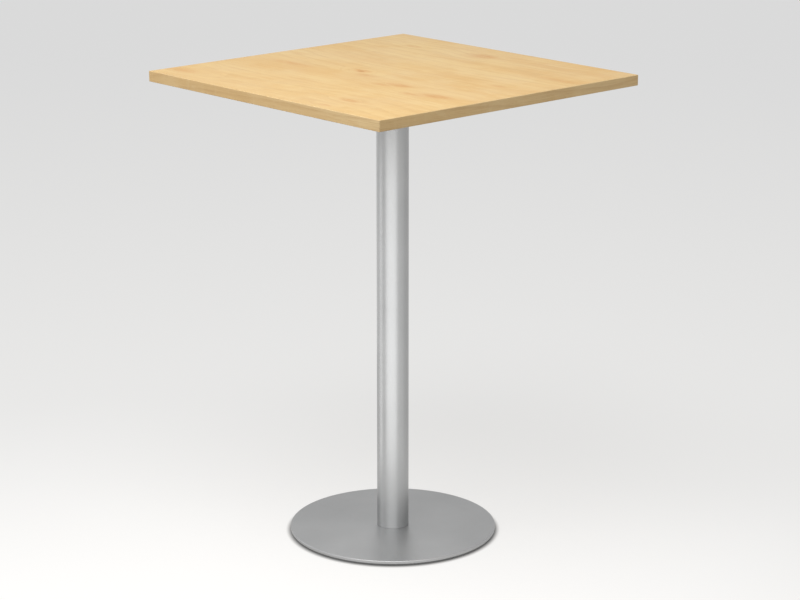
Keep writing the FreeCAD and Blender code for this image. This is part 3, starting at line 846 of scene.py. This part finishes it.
def button_head(head_radius, rounding, height, shank_radius):
    """Radius and distance from the face of a button head."""
    flat = head_radius - rounding
    dome = [
        (flat + rounding * math.sin(t), rounding * (1 - math.cos(t)))
        for t in quarter_turns(BUTTON_STEPS)
    ]
    return dome + [(head_radius, height), (shank_radius, height)]


def flange_head(flange_radius, chamfer, height, shank_radius):
    """Radius and distance from the face of a flat flange with chamfered edges."""
    inner = flange_radius - chamfer
    return [
        (inner, 0.0),
        (flange_radius, chamfer),
        (flange_radius, height - chamfer),
        (inner, height),
        (shank_radius, height),
    ]


def add_screw(shape, centre, face, tip, key, key_depth, head, radius, pitch, tip_chamfer):
    """Adds a screw with a hexagon socket, from the face of its head to its tip, up or down."""
    way = math.copysign(1.0, tip - face)
    floor = face + way * key_depth
    rings = [
        hexagon(key * SOCKET_FLOOR_SHARE, floor, centre),
        hexagon(key, floor, centre),
        hexagon(key, face, centre),
    ]
    rings += circles([(reach, face + way * away) for reach, away in head], SMALL_SEGMENTS, centre)
    start = face + way * head[-1][1]
    depth = pitch * THREAD_DEPTH_SHARE
    rings += thread_rings(radius, pitch, depth, start, tip, tip_chamfer, centre)
    add_closed_rings(shape, rings)


def add_insert(shape, centre, low, high, radius, bore, pitch, depth, chamfer):
    """Adds a threaded insert, a sleeve with a coarse thread outside."""
    rings = circles([(bore, low), (radius - depth, low)], SMALL_SEGMENTS, centre)
    rings += thread_rings(radius, pitch, depth, low, high, chamfer, centre)
    rings += circles([(bore, high)], SMALL_SEGMENTS, centre)
    add_tube_rings(shape, rings)


BOARD_SCREW_REACH = 0.145
BOARD_PLACES = [
    (BOARD_SCREW_REACH * x, BOARD_SCREW_REACH * y)
    for x in (-1, 0, 1)
    for y in (-1, 0, 1)
    if (x, y) != (0, 0)
]
MOUNT_SCREW = {
    "key": 0.005,
    "key_depth": 0.0028,
    "head": countersunk_head(head_radius=0.008, rim=0.0004, shank_radius=0.004),
    "radius": 0.004,
    "pitch": 0.00125,
    "tip_chamfer": 0.0008,
}
BASE_SCREW = {
    "key": 0.006,
    "key_depth": 0.0035,
    "head": countersunk_head(head_radius=0.010, rim=0.0005, shank_radius=0.005),
    "radius": 0.005,
    "pitch": 0.0015,
    "tip_chamfer": 0.0008,
}
BOARD_SCREW = {
    "key": 0.004,
    "key_depth": 0.002,
    "head": button_head(head_radius=0.00525, rounding=0.0024, height=0.0033, shank_radius=0.003),
    "radius": 0.003,
    "pitch": 0.001,
    "tip_chamfer": 0.0008,
}
LEVELLER_STUD = {
    "key": 0.004,
    "key_depth": 0.003,
    "head": flange_head(flange_radius=0.008, chamfer=0.0003, height=0.00154, shank_radius=0.004),
    "radius": 0.004,
    "pitch": 0.00125,
    "tip_chamfer": 0.0006,
}
BOARD_INSERT = {
    "radius": 0.00508,
    "bore": 0.00308,
    "pitch": 0.0025,
    "depth": 0.0009,
    "chamfer": 0.0006,
}


def stud_place(number):
    """Where a stud's axis stands on the floor."""
    low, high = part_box(f"leveller_stud_{number}")
    return ((low.x + high.x) / 2, (low.y + high.y) / 2)


def make_screws(name, node, places, points_up, screw):
    """The screws of one CAD node, with threads."""
    low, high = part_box(node)
    face, tip = (low.z, high.z) if points_up else (high.z, low.z)
    shape = bmesh.new()
    for place in places:
        add_screw(shape, place, face, tip, **screw)
    return make_piece(name, shape, THREAD_SHARP_DEGREES)


def make_inserts():
    """The inserts in the board, with threads."""
    low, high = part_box("tabletop_inserts")
    shape = bmesh.new()
    for place in BOARD_PLACES:
        add_insert(shape, place, low.z, high.z, **BOARD_INSERT)
    return make_piece("threaded_inserts", shape, THREAD_SHARP_DEGREES)


# Edge bands

BAND_RADIUS = 0.0015
BAND_STEPS = 6
BAND_SHARP_DEGREES = 40
BAND_SIDES = {"front": (0, -1), "right": (1, 0), "rear": (0, 1), "left": (-1, 0)}
MERGE_REACH = 0.000001


def band_outline(half, inner, outer, inset, has_open_ends):
    """Level outline of an edge band, as distances along and out, with its shown sides drawn in."""
    if has_open_ends:
        corner = BAND_RADIUS - inset
        outline = [(half - inset, inner)]
        for turn in quarter_turns(BAND_STEPS):
            along = half - BAND_RADIUS + corner * math.cos(turn)
            outline.append((along, outer - BAND_RADIUS + corner * math.sin(turn)))
    else:
        outline = [(half, inner), (half, outer - inset)]
    return outline + [(-along, out) for along, out in reversed(outline)]


def make_edge_band(side):
    """An edge band with evenly rounded edges. Only the front and rear bands have open ends."""
    low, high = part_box(f"edge_band_{side}")
    out = Vector((*BAND_SIDES[side], 0))
    along = Vector((-out.y, out.x, 0))
    half = max(low.dot(along), high.dot(along))
    inner, outer = sorted((low.dot(out), high.dot(out)))
    rounding = [
        (BAND_RADIUS * (1 - math.sin(turn)), BAND_RADIUS * (1 - math.cos(turn)))
        for turn in quarter_turns(BAND_STEPS)
    ]
    levels = [(inset, low.z + rise) for inset, rise in rounding]
    levels += [(inset, high.z - rise) for inset, rise in reversed(rounding)]
    rings = []
    for inset, level in levels:
        outline = band_outline(half, inner, outer, inset, has_open_ends=out.x == 0)
        up = Vector((0, 0, level))
        rings.append([along * point[0] + out * point[1] + up for point in outline])
    shape = bmesh.new()
    add_closed_rings(shape, rings)
    bmesh.ops.remove_doubles(shape, verts=shape.verts, dist=MERGE_REACH)
    return make_piece(f"rounded_band_{side}", shape, BAND_SHARP_DEGREES)


# Materials on the CAD nodes

MATERIALS = {
    "maple_decor": maple_decor("maple_decor", has_knots=True),
    "maple_underside": maple_decor("maple_underside", has_knots=False),
    "maple_edge_x": maple_edge("maple_edge_x", along="x", through="y"),
    "maple_edge_y": maple_edge("maple_edge_y", along="y", through="x"),
    "chipboard": chipboard(),
    "silver_coat": silver_coat(),
    "bare_steel": bare_steel(),
    "zinc_steel": zinc_steel(),
    "insert_alloy": insert_alloy(),
    "pad_plastic": pad_plastic(),
    "sole_rubber": sole_rubber(),
}
SPECIAL_MATERIALS = {
    "underside_decor": "maple_underside",
    "edge_band_front": "maple_edge_x",
    "edge_band_rear": "maple_edge_x",
    "edge_band_right": "maple_edge_y",
    "edge_band_left": "maple_edge_y",
}


def dress(piece, material):
    """Gives a piece one material all over."""
    piece.data.materials.clear()
    piece.data.materials.append(MATERIALS[material])


for part in frame["record"]["subparts"]:
    node = frame["nodes"][part["node"]]
    dress(node, SPECIAL_MATERIALS.get(part["node"], part["material_slot"]))


def put_in(piece, node, body, material):
    """Puts a finer piece in the place of a CAD node."""
    dress(piece, material)
    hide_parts(node)
    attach(piece, body)


put_in(make_column(), "column_tube", "table", "silver_coat")
base_disc = make_base([stud_place(number) for number in LEVELLERS])
put_in(base_disc, "base_plate", "table", "silver_coat")
for name, node, places, points_up, screw in (
    ("threaded_mount_screws", "mount_screws", CROSS_PLACES, False, MOUNT_SCREW),
    ("threaded_base_screws", "base_screws", CROSS_PLACES, True, BASE_SCREW),
    ("threaded_board_screws", "tabletop_screws", BOARD_PLACES, True, BOARD_SCREW),
):
    put_in(make_screws(name, node, places, points_up, screw), node, "table", "zinc_steel")
put_in(make_inserts(), "tabletop_inserts", "table", "insert_alloy")
for side in BAND_SIDES:
    node = f"edge_band_{side}"
    put_in(make_edge_band(side), node, "table", SPECIAL_MATERIALS[node])
for number in LEVELLERS:
    node = f"leveller_stud_{number}"
    stud = make_screws(
        f"threaded_stud_{number}", node, [stud_place(number)], True, LEVELLER_STUD
    )
    put_in(stud, node, f"leveller_{number}_screw", "zinc_steel")

# Stage

FLOOR_HALF = 40.0
FLOOR_LEVEL = -0.0001
# Painted pool of light: the floor is brightest at a place ahead of the table, and goes over to
# other tones from there
FLOOR_BRIGHT_AHEAD = 1.5
FLOOR_BRIGHT_ASIDE = math.radians(-16.0)
FLOOR_NEAR = (1.115, 1.105, 1.09, 1.0)
FLOOR_MIDDLE = (0.915, 0.911, 0.902, 1.0)
FLOOR_MIDDLE_SPAN = (0.7, 2.6)
FLOOR_FAR = grey(0.8595)
FLOOR_FAR_SPAN = (2.0, 9.0)
FLOOR_PLAIN = grey(0.78)
FLOOR_LIT_SHARE = 0.25
FLOOR_GLOW = 0.725
# Distances from the base plate's rim: where the contact shade lies, and where the floor opens
FLOOR_CONTACT_SHARE = 0.08
FLOOR_CONTACT_INSIDE = 0.003
FLOOR_CONTACT_OUTSIDE = 0.014
FLOOR_OPEN_INSIDE = 0.005


def direction(azimuth, elevation):
    """A direction from the table, by azimuth and elevation as the camera's are counted."""
    level = math.cos(elevation)
    return Vector((math.sin(azimuth) * level, -math.cos(azimuth) * level, math.sin(elevation)))


def seen_share(nodes):
    """One for what the camera, gloss and clear things see, and zero for soft light."""
    rays = nodes.node("ShaderNodeLightPath").outputs
    seen = nodes.math("MAXIMUM", rays["Is Camera Ray"], rays["Is Glossy Ray"])
    return nodes.math("MAXIMUM", seen, rays["Is Transmission Ray"])


def floor_material():
    """Pale matt floor that glows for what sees it and keeps a weak shadow.

    It is clear from below, and open under the base plate for all but the camera.
    """
    shader = Shader("studio_floor")
    # Painted pool of light: the floor's tone fades with the distance from a place ahead of the
    # table
    ahead = direction(CAMERA_AZIMUTH + FLOOR_BRIGHT_ASIDE, 0.0) * FLOOR_BRIGHT_AHEAD
    reach = shader.vector("LENGTH", shader.vector("SUBTRACT", shader.place, tuple(ahead)))
    tone = shader.tint(FLOOR_NEAR, FLOOR_MIDDLE, reach, *FLOOR_MIDDLE_SPAN)
    tone = shader.tint(tone, FLOOR_FAR, reach, *FLOOR_FAR_SPAN)
    seen = seen_share(shader)
    x, y, _ = shader.parts(shader.place)
    radius = shader.vector("LENGTH", shader.joined(x, y, 0.0))
    contact_start = BASE_RADIUS - FLOOR_CONTACT_INSIDE
    contact_end = BASE_RADIUS + FLOOR_CONTACT_OUTSIDE
    contact_glow = FLOOR_CONTACT_SHARE * FLOOR_GLOW
    glow = shader.span(radius, contact_start, contact_end, contact_glow, FLOOR_GLOW)
    lit = shader.blend(1.0, tone, grey(FLOOR_LIT_SHARE), "MULTIPLY")
    shader.finish(
        Base_Color=shader.blend(seen, FLOOR_PLAIN, lit),
        Roughness=1.0,
        Specular_IOR_Level=0.0,
        Emission_Color=tone,
        Emission_Strength=shader.math("MULTIPLY", seen, glow),
    )
    clear = shader.node("ShaderNodeBsdfTransparent").outputs[0]
    below = shader.node("ShaderNodeNewGeometry").outputs["Backfacing"]
    camera_ray = shader.node("ShaderNodeLightPath").outputs["Is Camera Ray"]
    covered = shader.math("LESS_THAN", radius, BASE_RADIUS - FLOOR_OPEN_INSIDE)
    open_share = shader.math("MAXIMUM", below, shader.math("SUBTRACT", covered, camera_ray))
    sockets = {0: open_share, 1: shader.surface.outputs[0], 2: clear}
    sides = shader.node("ShaderNodeMixShader", sockets)
    shader.feed(shader.tree.nodes["Material Output"].inputs["Surface"], sides.outputs[0])
    return shader.material


def make_floor():
    """A wide level floor under the soles."""
    mesh = bpy.data.meshes.new("studio_floor")
    signs = ((-1, -1), (1, -1), (1, 1), (-1, 1))
    corners = [(FLOOR_HALF * x, FLOOR_HALF * y, FLOOR_LEVEL) for x, y in signs]
    mesh.from_pydata(corners, [], [tuple(range(len(corners)))])
    mesh.materials.append(floor_material())
    floor = bpy.data.objects.new("studio_floor", mesh)
    bpy.context.scene.collection.objects.link(floor)


WORLD_LIGHT = 0.35
WORLD_BACKGROUND = (0.695, 0.695, 0.697, 1.0)


def make_world():
    """Soft light from all round, and a pale background for what the camera and gloss see."""
    world = bpy.data.worlds.new("studio")
    world.use_nodes = True
    nodes = Nodes(world.node_tree)
    nodes.tree.nodes.clear()
    light = nodes.node("ShaderNodeBackground", {"Color": grey(1.0), "Strength": WORLD_LIGHT})
    background = nodes.node("ShaderNodeBackground", {"Color": WORLD_BACKGROUND})
    sockets = {0: seen_share(nodes), 1: light.outputs[0], 2: background.outputs[0]}
    mixed = nodes.node("ShaderNodeMixShader", sockets)
    nodes.node("ShaderNodeOutputWorld", {"Surface": mixed.outputs[0]})
    bpy.context.scene.world = world


# Soft lights: name, degrees to the camera's right and up, distance from the aim, height of the
# aim on the table's axis, width and height, watts, and whether it lights matt things or is seen
# by gloss alone
SOFTBOXES = (
    ("key_light", -19.0, 62.0, 2.9, 1.1, (1.8, 1.8), 64.0, True),
    ("front_light", -8.0, 0.0, 0.5, 0.44, (0.8, 0.88), 2.4, False),
    ("right_light", 62.0, 0.0, 0.5, 0.44, (0.4, 0.88), 0.22, False),
    ("left_light", -90.0, 0.0, 0.5, 0.42, (0.19, 0.84), 0.44, False),
    ("back_light", -158.0, 0.0, 0.5, 0.66, (0.8, 0.72), 0.5, False),
    ("fill_light", -75.0, 22.0, 3.0, 0.9, (1.4, 1.0), 10.0, True),
)


def make_softbox(name, aside, elevation, distance, aim_height, size, watts, lights_matt):
    """A rectangular soft light that the camera doesn't see."""
    data = bpy.data.lights.new(name, "AREA")
    data.shape = "RECTANGLE"
    data.size, data.size_y = size
    data.energy = watts
    lamp = bpy.data.objects.new(name, data)
    away = direction(CAMERA_AZIMUTH + math.radians(aside), math.radians(elevation))
    lamp.location = Vector((0.0, 0.0, aim_height)) + away * distance
    lamp.rotation_euler = away.to_track_quat("Z", "Y").to_euler()
    lamp.visible_camera = False
    lamp.visible_diffuse = lights_matt
    bpy.context.scene.collection.objects.link(lamp)


def make_camera():
    """The camera of the photograph's view."""
    data = bpy.data.cameras.new("camera")
    data.lens = CAMERA_LENS_MM
    camera = bpy.data.objects.new("camera", data)
    right = Vector((math.cos(CAMERA_AZIMUTH), math.sin(CAMERA_AZIMUTH), 0.0))
    back = direction(CAMERA_AZIMUTH, CAMERA_ELEVATION)
    target = right * TARGET_ASIDE + Vector((0.0, 0.0, TARGET_HEIGHT))
    camera.location = target + back * CAMERA_DISTANCE
    camera.rotation_euler = back.to_track_quat("Z", "Y").to_euler()
    bpy.context.scene.collection.objects.link(camera)
    bpy.context.scene.camera = camera


make_floor()
make_world()
for softbox in SOFTBOXES:
    make_softbox(*softbox)
make_camera()
bpy.context.scene.view_settings.view_transform = "Standard"
